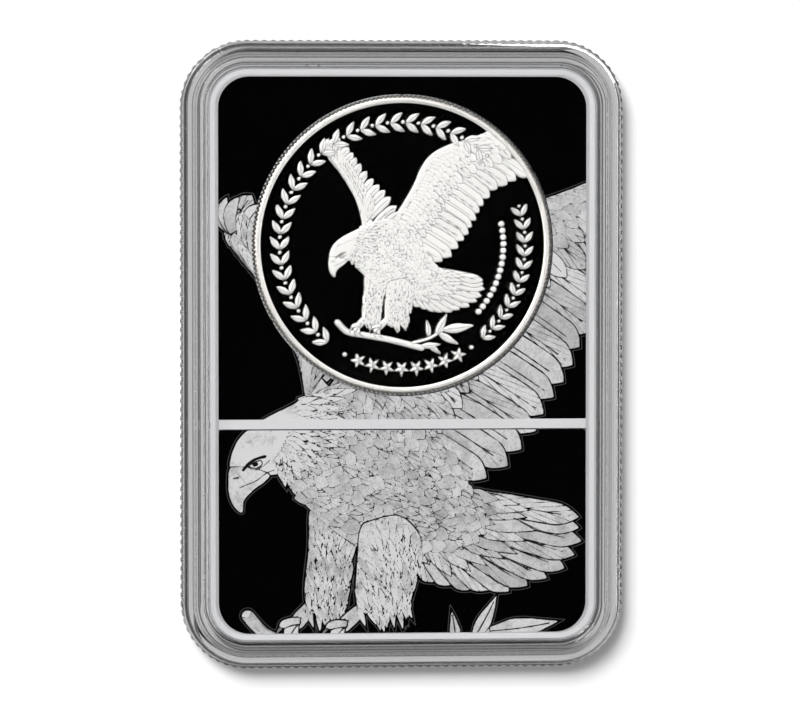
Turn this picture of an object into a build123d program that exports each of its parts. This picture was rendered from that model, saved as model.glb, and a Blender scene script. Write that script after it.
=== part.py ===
from build123d import *
import math
import os

# Graded coin slab: a clear two-part holder, welded shut round one coin, its insert and its label.
# It stands upright on its lower edge. X is the width, Z the height and Y the depth, and the
# display side faces -Y. The origin is at the foot, under the middle of the slab.
# Every piece is drawn lying flat (X across, Y up the slab, Z from the parting plane towards the
# viewer) and is stood up when it is written. Millimetres throughout.

# Holder, overall (its depth follows from the coin and the walls, further down)
SLAB_WIDTH = 60.0
SLAB_HEIGHT = 85.0
CORNER_RADIUS = 9.0

# Gripping edge: a fluted flange either side of the parting plane
FLANGE_REACH = 0.32          # how far the flange stands out from the wall
FLANGE_HEIGHT = 1.6          # on each side of the parting plane
FLUTE_PITCH = 1.2
FLUTE_WIDTH = 0.85
FLUTE_DEPTH = 0.16

# Frame section, as insets from the outer edge and heights
WALL_DRAFT = 0.18            # how far the outer wall leans in
WALL_ROUND = 0.4             # rounded shoulder of the rim
CHANNEL_INSET = 1.6          # hollow channel that runs inside the frame
CHANNEL_WIDTH = 1.6
CHANNEL_ROOF = 1.25          # plastic left between the channel and the front rim
SEAL_WALL = 1.45             # inner wall that carries the weld
RIDGE_INSET = 2.45           # stacking ridge on the front
RIDGE_WIDTH = 0.6
RIDGE_HEIGHT = 0.4           # above the front rim
RIDGE_SLOPE = 0.1
RIM_GROOVE_WIDTH = 0.35      # fine groove outside the ridge
RIM_GROOVE_DEPTH = 0.3
LEDGE_WIDTH = 0.5            # narrow ledge between the ridge and the window
LEDGE_RISE = 0.3             # above the window
STACK_CLEARANCE = 0.1        # between a ridge and the recess of the slab stacked on it
WINDOW_RECESS = 1.0          # window face below the outermost face
WINDOW_THICKNESS = 1.25
COIN_FACE_GAP = 0.26         # between the coin's rim and the window on each side

# Ultrasonic weld on the inner wall
WELD_GROOVE_WIDTH = 0.65
WELD_GROOVE_DEPTH = 0.6
WELD_TONGUE_WIDTH = 0.45
WELD_TONGUE_HEIGHT = 0.35
WELD_GAP = 0.8               # break in the weld at each end of the divider

# Divider between the coin window and the label window
DIVIDER_HEIGHT = 33.0        # of its middle, above the foot
DIVIDER_THICKNESS = 0.95

# Raised mould marks on the front ledge, along the top
MARKS_FROM_LEFT = [17.0, 18.6]
MARKS_FROM_RIGHT = [8.6]
MARK_SIZE = 0.34
MARK_RISE = 0.08

# Inserts
INSERT_SIDE_GAP = 0.45       # from the cavity's sides
INSERT_END_GAP = 0.15        # from the cavity's top and foot
INSERT_DIVIDER_GAP = 0.17    # from the divider
INSERT_INNER_CORNER = 0.4    # corners beside the divider
ART_FILM = 0.12
ART_GAP = 0.08               # between a printed film and the window
LABEL_CARD = 0.14
LABEL_GAP = 0.11             # between a label and the window
SEAL_FOIL = 0.05
SEAL_WIDTH = 11.0
SEAL_HEIGHT = 7.0
SEAL_CORNER = 1.0
SEAL_SIDE_GAP = 4.0          # foil seal from the label's side and foot
COIN_CLEARANCE = 0.1         # all round, in the core's bore
GRIP_RIB_COUNT = 6
GRIP_RIB_WIDTH = 0.6
GRIP_RIB_CLEARANCE = 0.03

# Coin
COIN_DIAMETER = 40.6
COIN_THICKNESS = 2.98
COIN_LIFT = 0.38             # of its middle, above the middle of its insert
COIN_RIM_WIDTH = 0.95
COIN_RIM_HEIGHT = 0.25
REED_PITCH = 0.638
REED_WIDTH = 0.4
REED_DEPTH = 0.1
RELIEF_HEIGHT = 0.15
PELLET_COUNT = 48
PELLET_RADIUS = 0.38
PELLET_CIRCLE_GAP = 1.5      # from the inside of the rim
BIRD_CIRCLE = 17.85          # pellet circle that the bird's outline is drawn for
STAR_TIPS = 5
LEAF_PAIRS = 9
LEAF_LEAN = 55.0             # degrees from the circle that the leaves stand on

# Worked out from the sizes above
WINDOW_BACK = COIN_THICKNESS / 2 + COIN_FACE_GAP
WINDOW_FACE = WINDOW_BACK + WINDOW_THICKNESS
HALF_DEPTH = WINDOW_FACE + WINDOW_RECESS
FRONT_RIM = HALF_DEPTH - RIDGE_HEIGHT
CHANNEL_DEPTH = FRONT_RIM - CHANNEL_ROOF
RIM_INSET = FLANGE_REACH + WALL_DRAFT + WALL_ROUND
CAVITY_INSET = CHANNEL_INSET + CHANNEL_WIDTH + SEAL_WALL
RIDGE_END = RIDGE_INSET + RIDGE_WIDTH
LEDGE_END = RIDGE_END + RIDGE_SLOPE + LEDGE_WIDTH
WELD_MIDDLE = CHANNEL_INSET + CHANNEL_WIDTH + SEAL_WALL / 2
INSERT_CORNER = CORNER_RADIUS - CAVITY_INSET - INSERT_END_GAP
INSERT_LOW = CAVITY_INSET + INSERT_END_GAP
INSERT_HIGH = SLAB_HEIGHT - INSERT_LOW
CORE_LOW = DIVIDER_HEIGHT + DIVIDER_THICKNESS / 2 + INSERT_DIVIDER_GAP
LABEL_HIGH = DIVIDER_HEIGHT - DIVIDER_THICKNESS / 2 - INSERT_DIVIDER_GAP
CORE_HALF = WINDOW_BACK - ART_GAP - ART_FILM
LABEL_HALF = WINDOW_BACK - LABEL_GAP - LABEL_CARD
COIN_HEIGHT = (CORE_LOW + INSERT_HIGH) / 2 + COIN_LIFT
COIN_RADIUS = COIN_DIAMETER / 2
BORE_RADIUS = COIN_RADIUS + COIN_CLEARANCE
COIN_FIELD = COIN_THICKNESS / 2 - COIN_RIM_HEIGHT
FIELD_RADIUS = COIN_RADIUS - COIN_RIM_WIDTH
PELLET_CIRCLE = FIELD_RADIUS - PELLET_CIRCLE_GAP


def outline(inset):
    """Rounded outline of the slab, set in from its outer edge."""
    width = SLAB_WIDTH - 2 * inset
    height = SLAB_HEIGHT - 2 * inset
    return Pos(0, SLAB_HEIGHT / 2) * RectangleRounded(width, height, CORNER_RADIUS - inset)


def block(face, low, high):
    """A flat face made into a plate between two heights."""
    return extrude(Pos(0, 0, low) * face, amount=high - low)


def carry_round(section):
    """Carry a section (X = inset, Y = height) round the slab: four sides and four corners."""
    across = SLAB_WIDTH - 2 * CORNER_RADIUS
    upward = SLAB_HEIGHT - 2 * CORNER_RADIUS
    top = SLAB_HEIGHT - CORNER_RADIUS
    corner = revolve(Plane.XZ * Pos(-CORNER_RADIUS, 0) * section, Axis.Z, revolution_arc=90)
    turns = [
        (-across / 2, CORNER_RADIUS, -SLAB_WIDTH / 2, top, upward),
        (across / 2, CORNER_RADIUS, -across / 2, 0, across),
        (across / 2, top, SLAB_WIDTH / 2, CORNER_RADIUS, upward),
        (-across / 2, top, across / 2, SLAB_HEIGHT, across),
    ]
    ring = Part()
    for quarter, (centre_x, centre_y, start_x, start_y, length) in enumerate(turns):
        turned = Rot(0, 0, 90 * quarter)
        side = extrude(Plane.XZ * section, amount=length)
        ring += Pos(centre_x, centre_y) * turned * corner
        ring += Pos(start_x, start_y) * turned * side
    return ring


def fluted_face(path, pitch, groove, depth):
    """Face inside a closed path that turns left, with shallow round grooves all along it."""
    count = round(path.length / pitch)
    step = path.length / count

    def place(distance, inset):
        along = distance % path.length
        tangent = path.tangent_at(along, position_mode=PositionMode.LENGTH)
        inward = tangent.rotate(Axis.Z, 90)
        return path.position_at(along, position_mode=PositionMode.LENGTH) + inward * inset

    grooves = []
    for number in range(count):
        middle = (number + 0.5) * step
        start = place(middle - groove / 2, 0)
        end = place(middle + groove / 2, 0)
        grooves.append((start, place(middle, depth), end))
    edges = []
    for here, after in zip(grooves, grooves[1:] + grooves[:1]):
        edges += [ThreePointArc(*here), Line(here[2], after[0])]
    return make_face(edges)


def edge_path():
    """The slab's outer edge as one path that turns left, from the middle of the foot."""
    across = SLAB_WIDTH - 2 * CORNER_RADIUS
    upward = SLAB_HEIGHT - 2 * CORNER_RADIUS
    edges = [Line((0, 0), (across / 2, 0))]
    for length in (upward, across, upward, across / 2):
        corner = JernArc(edges[-1] @ 1, edges[-1] % 1, CORNER_RADIUS, 90)
        edges += [corner, Line(corner @ 1, corner @ 1 + (corner % 1) * length)]
    return Wire(edges)


def flange():
    """Fluted gripping edge of one shell, starting with a land under the middle of the slab."""
    face = fluted_face(edge_path(), FLUTE_PITCH, FLUTE_WIDTH, FLUTE_DEPTH)
    return block(face - outline(CHANNEL_INSET - FLANGE_REACH), 0, FLANGE_HEIGHT)


def wall_and_rim(rim_height):
    """Outer wall of a shell with its rounded shoulder, from the parting plane to the rim."""
    shoulder = rim_height - WALL_ROUND
    wall = Polyline((FLANGE_REACH, 0), (FLANGE_REACH, FLANGE_HEIGHT), (FLANGE_REACH + WALL_DRAFT, shoulder))
    turn = RadiusArc((FLANGE_REACH + WALL_DRAFT, shoulder), (RIM_INSET, rim_height), WALL_ROUND)
    return wall, turn


def inner_side(rim_end):
    """Points from the window's face down its inner side, the channel and back to the wall."""
    overlap = CAVITY_INSET + SEAL_WALL
    return [
        rim_end,
        (overlap, WINDOW_FACE),
        (overlap, WINDOW_BACK),
        (CAVITY_INSET, WINDOW_BACK),
        (CAVITY_INSET, 0),
        (CHANNEL_INSET + CHANNEL_WIDTH, 0),
        (CHANNEL_INSET + CHANNEL_WIDTH, CHANNEL_DEPTH),
        (CHANNEL_INSET, CHANNEL_DEPTH),
        (CHANNEL_INSET, 0),
        (FLANGE_REACH, 0),
    ]


def front_section():
    """Front frame section: rim, fine groove, stacking ridge, ledge and window edge."""
    groove_floor = FRONT_RIM - RIM_GROOVE_DEPTH
    ledge = WINDOW_FACE + LEDGE_RISE
    wall, turn = wall_and_rim(FRONT_RIM)
    top = [
        (RIM_INSET, FRONT_RIM),
        (RIDGE_INSET - RIDGE_SLOPE - RIM_GROOVE_WIDTH, FRONT_RIM),
        (RIDGE_INSET - RIDGE_SLOPE - RIM_GROOVE_WIDTH, groove_floor),
        (RIDGE_INSET - RIDGE_SLOPE, groove_floor),
        (RIDGE_INSET, HALF_DEPTH),
        (RIDGE_END, HALF_DEPTH),
        (RIDGE_END + RIDGE_SLOPE, ledge),
        (LEDGE_END, ledge),
    ]
    rest = inner_side((LEDGE_END + RIDGE_SLOPE, WINDOW_FACE))
    return make_face([wall, turn, Polyline(*top, *rest)])


def rear_section():
    """Rear frame section: rim, recess for the ridge of the next slab, and window edge."""
    recess = HALF_DEPTH - RIDGE_HEIGHT - STACK_CLEARANCE
    recess_start = RIDGE_INSET - RIDGE_SLOPE - STACK_CLEARANCE
    recess_end = LEDGE_END + STACK_CLEARANCE
    wall, turn = wall_and_rim(HALF_DEPTH)
    top = [
        (RIM_INSET, HALF_DEPTH),
        (recess_start - RIDGE_SLOPE, HALF_DEPTH),
        (recess_start, recess),
        (recess_end, recess),
    ]
    rest = inner_side((recess_end + RIDGE_SLOPE, WINDOW_FACE))
    return make_face([wall, turn, Polyline(*top, *rest)])


def divider():
    """Half of the divider in one shell, across the cavity from wall to wall."""
    width = SLAB_WIDTH - 2 * CAVITY_INSET + SEAL_WALL
    face = Pos(0, DIVIDER_HEIGHT) * Rectangle(width, DIVIDER_THICKNESS)
    return block(face, 0, WINDOW_BACK + WINDOW_THICKNESS / 2)


def weld_ring(width, low, high, gap):
    """Ring on the middle of the inner wall, broken at each end of the divider."""
    inset = WELD_MIDDLE - width / 2
    face = outline(inset) - outline(inset + width)
    face -= Pos(0, DIVIDER_HEIGHT) * Rectangle(SLAB_WIDTH, gap)
    return block(face, low, high)


def mould_marks():
    """Small raised lozenges on the front ledge, along the top."""
    height = SLAB_HEIGHT - (RIDGE_END + RIDGE_SLOPE + LEDGE_END) / 2
    ledge = WINDOW_FACE + LEDGE_RISE
    lozenge = Rot(0, 0, 45) * Rectangle(MARK_SIZE, MARK_SIZE)
    places = [gap - SLAB_WIDTH / 2 for gap in MARKS_FROM_LEFT]
    places += [SLAB_WIDTH / 2 - gap for gap in MARKS_FROM_RIGHT]
    marks = Part()
    for across in places:
        marks += block(Pos(across, height) * lozenge, ledge - MARK_RISE, ledge + MARK_RISE)
    return marks


def shell(section):
    """What both shells share: frame, window, fluted flange and half of the divider."""
    window = block(outline(CAVITY_INSET + SEAL_WALL / 2), WINDOW_BACK, WINDOW_FACE)
    return carry_round(section) + window + flange() + divider()


def front_shell():
    """Front shell with the weld's tongue and the mould marks."""
    tongue_gap = WELD_GAP + WELD_GROOVE_WIDTH - WELD_TONGUE_WIDTH
    tongue = weld_ring(WELD_TONGUE_WIDTH, -WELD_TONGUE_HEIGHT, WELD_TONGUE_HEIGHT, tongue_gap)
    return shell(front_section()) + tongue + mould_marks()


def rear_shell():
    """Rear shell, turned over, with the groove that the weld fills."""
    turned = mirror(shell(rear_section()), Plane.XY)
    return turned - weld_ring(WELD_GROOVE_WIDTH, -WELD_GROOVE_DEPTH, 0, WELD_GAP)


def weld_bead():
    """Plastic that melted and set again between the tongue and the floor of the groove."""
    return weld_ring(WELD_GROOVE_WIDTH, -WELD_GROOVE_DEPTH, -WELD_TONGUE_HEIGHT, WELD_GAP)


def insert_face(low, high, low_corner, high_corner):
    """Insert outline between two heights, with one radius below and another above."""
    width = SLAB_WIDTH - 2 * (CAVITY_INSET + INSERT_SIDE_GAP)
    face = Pos(0, (low + high) / 2) * Rectangle(width, high - low)
    below = face.vertices().group_by(Axis.Y)[0]
    face = fillet(below, low_corner)
    above = face.vertices().group_by(Axis.Y)[-1]
    return fillet(above, high_corner)


def core_face():
    """Insert in the coin window."""
    return insert_face(CORE_LOW, INSERT_HIGH, INSERT_INNER_CORNER, INSERT_CORNER)


def label_face():
    """Insert in the label window."""
    return insert_face(INSERT_LOW, LABEL_HIGH, INSERT_CORNER, INSERT_INNER_CORNER)


def at_coin():
    """Place of the coin's middle."""
    return Pos(0, COIN_HEIGHT)


def coin_core():
    """Moulded insert with a bore for the coin and small ribs that grip its edge."""
    bore = Circle(BORE_RADIUS)
    rib_tip = COIN_RADIUS + GRIP_RIB_CLEARANCE
    rib = Pos(rib_tip + COIN_CLEARANCE / 2, 0) * Rectangle(COIN_CLEARANCE, GRIP_RIB_WIDTH)
    for number in range(GRIP_RIB_COUNT):
        bore -= Rot(0, 0, (number + 0.5) * 360 / GRIP_RIB_COUNT) * rib
    return block(core_face() - at_coin() * bore, -CORE_HALF, CORE_HALF)


def core_art(low):
    """Printed film on one side of the core, with a round opening for the coin."""
    return block(core_face() - at_coin() * Circle(BORE_RADIUS), low, low + ART_FILM)


def label_core():
    """Plain insert that backs the label."""
    return block(label_face(), -LABEL_HALF, LABEL_HALF)


def hologram_seal():
    """Foil seal on the rear label, in its lower corner."""
    side = SLAB_WIDTH / 2 - CAVITY_INSET - INSERT_SIDE_GAP
    across = side - SEAL_SIDE_GAP - SEAL_WIDTH / 2
    height = INSERT_LOW + SEAL_SIDE_GAP + SEAL_HEIGHT / 2
    face = Pos(across, height) * RectangleRounded(SEAL_WIDTH, SEAL_HEIGHT, SEAL_CORNER)
    top = -(LABEL_HALF + LABEL_CARD)
    return block(face, top - SEAL_FOIL, top)


def bird_face():
    """Plain outline of a bird of prey with raised wings, facing left."""
    body = Spline((-11.0, -2.6), (-7.4, 1.4), (-1.0, 3.4), (4.0, 0.6), (9.6, -3.6), (4.6, -6.8),
                  (-2.6, -6.4), (-7.2, -2.2), (-9.8, -3.0), (-11.0, -2.6))
    near_wing = Spline((-2.4, 1.6), (1.8, 8.6), (8.4, 12.6), (11.6, 9.2), (8.2, 3.2), (2.8, -2.2))
    far_wing = Spline((-6.6, 1.2), (-7.4, 6.4), (-11.2, 12.4), (-7.0, 10.4), (-0.6, 4.0))
    faces = make_face(body)
    faces += make_face([near_wing, Line(near_wing @ 1, near_wing @ 0)])
    faces += make_face([far_wing, Line(far_wing @ 1, far_wing @ 0)])
    return scale(faces, by=PELLET_CIRCLE / BIRD_CIRCLE)


def pellet_circle():
    """Ring of round pellets inside the rim."""
    faces = Sketch()
    for number in range(PELLET_COUNT):
        faces += Rot(0, 0, number * 360 / PELLET_COUNT) * Pos(PELLET_CIRCLE, 0) * Circle(PELLET_RADIUS)
    return faces


def wreath_face():
    """Two sprays of leaves round a five-pointed star."""
    radius = PELLET_CIRCLE * 0.72
    outer = radius * 0.55
    inner = radius * 0.22
    corners = []
    for number in range(2 * STAR_TIPS):
        reach = inner if number % 2 else outer
        angle = math.radians(90 + number * 180 / STAR_TIPS)
        corners.append((reach * math.cos(angle), reach * math.sin(angle)))
    faces = make_face(Polyline(*corners, close=True))
    leaf = Rot(0, 0, LEAF_LEAN) * Ellipse(radius * 0.17, radius * 0.06)
    for number in range(LEAF_PAIRS):
        turn = -80 + number * 150 / (LEAF_PAIRS - 1)
        spray = Rot(0, 0, turn) * Pos(radius, 0) * leaf
        faces += spray
        faces += mirror(spray, Plane.YZ)
    return faces


def coin():
    """Coin with reeded edge, raised rim and plain raised devices on both faces."""
    half = COIN_THICKNESS / 2
    edge = Circle(COIN_RADIUS).edge()
    blank = block(fluted_face(edge, REED_PITCH, REED_WIDTH, REED_DEPTH), -half, half)
    body = blank - block(Circle(FIELD_RADIUS), COIN_FIELD, half)
    body -= block(Circle(FIELD_RADIUS), -half, -COIN_FIELD)
    body += block(bird_face() + pellet_circle(), COIN_FIELD, COIN_FIELD + RELIEF_HEIGHT)
    rear = block(wreath_face() + pellet_circle(), -COIN_FIELD - RELIEF_HEIGHT, -COIN_FIELD)
    return at_coin() * (body + rear)


pieces = {
    "front_shell": front_shell(),
    "rear_shell": rear_shell(),
    "weld_bead": weld_bead(),
    "coin_core": coin_core(),
    "core_art_front": core_art(CORE_HALF),
    "core_art_rear": core_art(-CORE_HALF - ART_FILM),
    "coin": coin(),
    "label_core": label_core(),
    "label_art_front": block(label_face(), LABEL_HALF, LABEL_HALF + LABEL_CARD),
    "label_card_rear": block(label_face(), -LABEL_HALF - LABEL_CARD, -LABEL_HALF),
    "hologram_seal": hologram_seal(),
}

os.makedirs("parts", exist_ok=True)
for name, piece in pieces.items():
    upright = Rot(90, 0, 0) * piece
    export_step(upright, f"parts/{name}.step")
    print(name, len(upright.solids()), "solids", round(upright.volume, 2), "mm3", upright.is_valid)
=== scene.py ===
"""Looks of a graded coin slab: a clear welded holder round one proof coin, its insert and its label.

Laid out as a Blender add-on and run as a script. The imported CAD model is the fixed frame. Every
piece made here is a parametric surface in millimetres, written out in metres. The slab stands on
its foot, X is the width, Z the height, and the display side faces -Y.
"""

import math

import bpy
import numpy as np
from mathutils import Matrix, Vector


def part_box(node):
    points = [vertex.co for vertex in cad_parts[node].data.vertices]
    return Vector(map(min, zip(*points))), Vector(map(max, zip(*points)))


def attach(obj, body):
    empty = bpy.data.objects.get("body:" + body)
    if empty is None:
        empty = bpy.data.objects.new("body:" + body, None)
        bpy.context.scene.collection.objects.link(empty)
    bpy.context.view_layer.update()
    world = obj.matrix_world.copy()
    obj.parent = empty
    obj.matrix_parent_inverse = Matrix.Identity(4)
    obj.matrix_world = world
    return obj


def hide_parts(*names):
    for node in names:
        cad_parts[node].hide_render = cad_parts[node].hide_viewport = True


bl_info = {
    "name": "Graded coin slab looks",
    "version": (1, 0, 0),
    "blender": (4, 5, 0),
    "location": "View3D > Sidebar > Coin Slab",
    "description": "Detailed surfaces, materials and a studio for a sealed coin slab",
    "category": "Object",
}

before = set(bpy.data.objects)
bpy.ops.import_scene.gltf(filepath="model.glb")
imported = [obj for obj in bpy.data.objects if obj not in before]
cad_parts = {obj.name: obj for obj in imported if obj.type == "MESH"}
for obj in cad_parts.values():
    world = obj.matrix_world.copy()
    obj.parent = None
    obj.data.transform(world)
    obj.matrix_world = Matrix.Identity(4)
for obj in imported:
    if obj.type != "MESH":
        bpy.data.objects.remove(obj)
MM = 0.001


# ---------------------------------------------------------------- settings

def length(name, description, value):
    """A length property kept in metres and given here in millimetres."""
    return bpy.props.FloatProperty(
        name=name, description=description, default=value * MM,
        subtype="DISTANCE", unit="LENGTH", precision=5)


def colour(name, description, value):
    """A colour property given as a hex sRGB number."""
    return bpy.props.FloatVectorProperty(
        name=name, description=description, default=linear(value), size=3, subtype="COLOR",
        min=0.0, max=1.0)


def linear(value):
    """Linear colour of a hex sRGB number."""
    parts = [((value >> shift) & 255) / 255 for shift in (16, 8, 0)]
    return tuple(p / 12.92 if p <= 0.04045 else ((p + 0.055) / 1.055) ** 2.4 for p in parts)


class SlabSizes(bpy.types.PropertyGroup):
    """Sizes of the holder that its packed box doesn't give."""
    corner: length("Corner", "Corner radius of the outer edge", 9.0)
    flange_height: length("Flange height", "Flange height on each side of the parting plane", 1.3)
    flute_pitch: length("Flute pitch", "From one flute of the flange to the next", 1.2)
    flute_width: length("Flute width", "Width of one flute where it meets the edge", 0.85)
    flute_depth: length("Flute depth", "Depth of one flute in the flange", 0.16)
    edge_round: length("Edge rounding", "Rounding on moulded edges", 0.07)
    parting_gap: length("Parting gap", "Air between the two shells, each side", 0.02)
    cavity_inset: length("Cavity inset", "From the outer edge to the cavity", 4.65)
    window_face: length("Window face", "Height of the window's outer face", 3.0)
    window_back: length("Window back", "Height of the window's inner face", 1.75)
    divider_height: length("Divider height", "Middle of the divider, above the foot", 33.0)
    divider_thickness: length("Divider thickness", "Thickness of the divider", 0.95)


class CoinSizes(bpy.types.PropertyGroup):
    """Sizes of the coin's surface."""
    rim_width: length("Rim width", "Width of the raised rim", 0.95)
    rim_height: length("Rim height", "Height of the rim above the field", 0.25)
    reed_pitch: length("Reed pitch", "From one reed of the edge to the next", 0.638)
    reed_depth: length("Reed depth", "Depth of one reed, about twice the real depth so that it shows", 0.22)


class SlabColours(bpy.types.PropertyGroup):
    """Colours of the plastics, the inks, the label and the silver."""
    clear: colour("Clear plastic", "Tint of the clear shells", 0xFCFCFC)
    matt: colour("Matt plastic", "Etched margin round each window", 0xCACACC)
    divider: colour("Divider", "Etched face of the divider", 0xEEEEF0)
    insert: colour("Insert", "Moulded insert", 0x08080A)
    film: colour("Film", "Ground of the printed films", 0x030304)
    ink: colour("Ink", "Palest ink of the print", 0xF2F2F3)
    label: colour("Label", "Card of the rear label", 0xE9ECEE)
    rule: colour("Rules", "Lines printed on the rear label", 0x4A5A72)
    silver: colour("Frosted silver", "Raised picture on the coin", 0xD2D1CF)


def chosen(name):
    """Linear colour now set for one of the slab's colours."""
    return tuple(getattr(bpy.context.scene.slab_colours, name))


# ---------------------------------------------------------------- mesh helpers

def quads(rows, columns, wrap_rows=False, wrap_columns=False):
    """Quad faces of a rows by columns grid of vertices, numbered row by row."""
    index = np.arange(rows * columns).reshape(rows, columns)
    row = np.arange(rows if wrap_rows else rows - 1)[:, None]
    column = np.arange(columns if wrap_columns else columns - 1)[None, :]
    after_row = (row + 1) % rows
    after_column = (column + 1) % columns
    corners = (index[row, column], index[row, after_column],
               index[after_row, after_column], index[after_row, column])
    return np.stack(np.broadcast_arrays(*corners), -1).reshape(-1, 4)


def new_piece(name, points, faces, material, smooth=True):
    """Object from points in mm (x, height, towards the viewer) and a list of face arrays."""
    points = np.asarray(points, float).reshape(-1, 3)
    placed = np.stack((points[:, 0], -points[:, 2], points[:, 1]), -1) * MM
    sizes = np.concatenate([np.full(len(group), group.shape[1]) for group in faces])
    loops = np.concatenate([group.ravel() for group in faces])
    mesh = bpy.data.meshes.new(name)
    mesh.vertices.add(len(placed))
    mesh.vertices.foreach_set("co", placed.astype(np.float32).ravel())
    mesh.loops.add(len(loops))
    mesh.loops.foreach_set("vertex_index", loops.astype(np.int32))
    mesh.polygons.add(len(sizes))
    mesh.polygons.foreach_set("loop_start", (np.cumsum(sizes) - sizes).astype(np.int32))
    mesh.polygons.foreach_set("use_smooth", np.full(len(sizes), smooth))
    mesh.update(calc_edges=True)
    mesh.validate()
    mesh.materials.append(material)
    piece = bpy.data.objects.new(name, mesh)
    bpy.context.collection.objects.link(piece)
    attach(piece, "root")
    return piece


def box_of(node):
    """Packed box of one node in mm: low and high corner as (x, height, towards the viewer)."""
    low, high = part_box(node)
    low, high = np.array(low) / MM, np.array(high) / MM
    return np.array((low[0], low[2], -high[1])), np.array((high[0], high[2], -low[1]))


def rounded_profile(corners, radii, steps=3):
    """Polyline through corner points with each corner replaced by a short arc-like curve.

    Each corner becomes a quadratic curve from one tangent length before it to one after."""
    corners = np.asarray(corners, float)
    result = [corners[:1]]
    for before, here, after, radius in zip(corners, corners[1:], corners[2:], radii):
        back, forth = before - here, after - here
        reach = min(radius, 0.45 * np.hypot(*back), 0.45 * np.hypot(*forth))
        start = here + back / np.hypot(*back) * reach
        end = here + forth / np.hypot(*forth) * reach
        t = np.linspace(0, 1, steps)[:, None]
        result.append((1 - t) ** 2 * start + 2 * t * (1 - t) * here + t ** 2 * end)
    result.append(corners[-1:])
    return np.concatenate(result)


def edge_samples(width, height, radius, along):
    """Points and inward normals of a rounded rectangle standing on height 0.

    along is the distance from the middle of the foot, anticlockwise seen from the front."""
    across, upward, turn = width - 2 * radius, height - 2 * radius, radius * math.pi / 2
    lengths = np.array([across / 2, turn, upward, turn, across, turn, upward, turn, across / 2])
    starts = np.concatenate(([0.0], np.cumsum(lengths)))
    part = np.clip(np.searchsorted(starts, along, side="right") - 1, 0, 8)
    local = along - starts[part]
    quarter = (part + 1) // 2
    swing = np.where(part % 2 == 1, local / radius, 0.0) + (quarter - (part % 2)) * math.pi / 2
    outward = np.stack((np.sin(swing), -np.cos(swing)), -1)
    centres = np.array([(0, radius), (across / 2, radius), (across / 2, radius),
                        (across / 2, height - radius), (across / 2, height - radius),
                        (-across / 2, height - radius), (-across / 2, height - radius),
                        (-across / 2, radius), (-across / 2, radius)])
    heading = np.stack((np.cos(swing), np.sin(swing)), -1)
    travel = np.where(part % 2 == 0, local, 0.0)[:, None]
    points = centres[part] + outward * radius + heading * travel
    return points, -outward


# ---------------------------------------------------------------- material helpers

def add_node(tree, kind, links=(), **settings):
    """Adds one shader node; links pairs an input's name or number with a socket or a value."""
    node = tree.nodes.new(kind)
    for key, value in settings.items():
        setattr(node, key, value)
    for key, value in dict(links).items():
        if isinstance(value, bpy.types.NodeSocket):
            tree.links.new(value, node.inputs[key])
        else:
            node.inputs[key].default_value = value
    return node


def new_material(name):
    """Empty node material and its tree."""
    material = bpy.data.materials.new(name)
    material.use_nodes = True
    material.node_tree.nodes.clear()
    return material, material.node_tree


def finish_material(tree, surface):
    """Joins a surface socket to the output."""
    add_node(tree, "ShaderNodeOutputMaterial", {"Surface": surface})


# Share of a lamp's light that passes one face of the clear plastic
PASSED = 0.7


def clear_plastic(name, tint, ior, roughness):
    """Clear moulded plastic that refracts, and lets lamps through so that it casts no hard shade."""
    material, tree = new_material(name)
    glass = add_node(tree, "ShaderNodeBsdfPrincipled", {
        "Base Color": (*tint, 1), "Roughness": roughness, "IOR": ior, "Transmission Weight": 1.0})
    lamp = add_node(tree, "ShaderNodeBsdfTransparent", {"Color": (PASSED, PASSED, PASSED, 1)})
    path = add_node(tree, "ShaderNodeLightPath")
    mix = add_node(tree, "ShaderNodeMixShader", {
        0: path.outputs["Is Shadow Ray"], 1: glass.outputs[0], 2: lamp.outputs[0]})
    finish_material(tree, mix.outputs[0])
    return material


def tint_of(value):
    """A socket as it is, or a colour with its alpha."""
    return value if isinstance(value, bpy.types.NodeSocket) else (*value, 1)


def coat(tree, tint, roughness, ior=1.5, metallic=0.0):
    """Finishes a material as one principled surface."""
    shader = add_node(tree, "ShaderNodeBsdfPrincipled", {
        "Base Color": tint_of(tint), "Roughness": roughness, "IOR": ior, "Metallic": metallic})
    finish_material(tree, shader.outputs[0])


def mixed(tree, share, first, second):
    """Colour between two colours."""
    return add_node(tree, "ShaderNodeMix", {0: share, 6: tint_of(first), 7: tint_of(second)},
                    data_type="RGBA").outputs[2]


def plain(name, *look, **more):
    """Material of one even colour: name, colour, roughness, refractive index."""
    material, tree = new_material(name)
    coat(tree, *look, **more)
    return material


# ---------------------------------------------------------------- drawing

def curve(points, share):
    """Point at a share of a smooth curve through control points (Catmull-Rom)."""
    points = np.asarray(points, float)
    place = np.clip(share, 0, 1) * (len(points) - 1)
    number = int(min(place, len(points) - 2))
    t = place - number
    before = points[max(number - 1, 0)]
    here, after = points[number], points[number + 1]
    beyond = points[min(number + 2, len(points) - 1)]
    return 0.5 * (2 * here + (after - before) * t + (2 * before - 5 * here + 4 * after - beyond) * t ** 2
                  + (3 * here - before - 3 * after + beyond) * t ** 3)


def ahead(heading, distance):
    """Step of a distance in a direction in degrees."""
    return distance * np.array((math.cos(math.radians(heading)), math.sin(math.radians(heading))))


def distance_to(x, y, points):
    """Distance to a line through points: the least |p - a - s (b - a)| over its parts, with s in 0..1."""
    nearest = np.full(x.shape, 9.0)
    for (ax, ay), (bx, by) in zip(points, points[1:]):
        ex, ey = bx - ax, by - ay
        share = np.clip(((x - ax) * ex + (y - ay) * ey) / (ex * ex + ey * ey + 1e-12), 0, 1)
        nearest = np.minimum(nearest, np.hypot(x - ax - share * ex, y - ay - share * ey))
    return nearest


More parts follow.
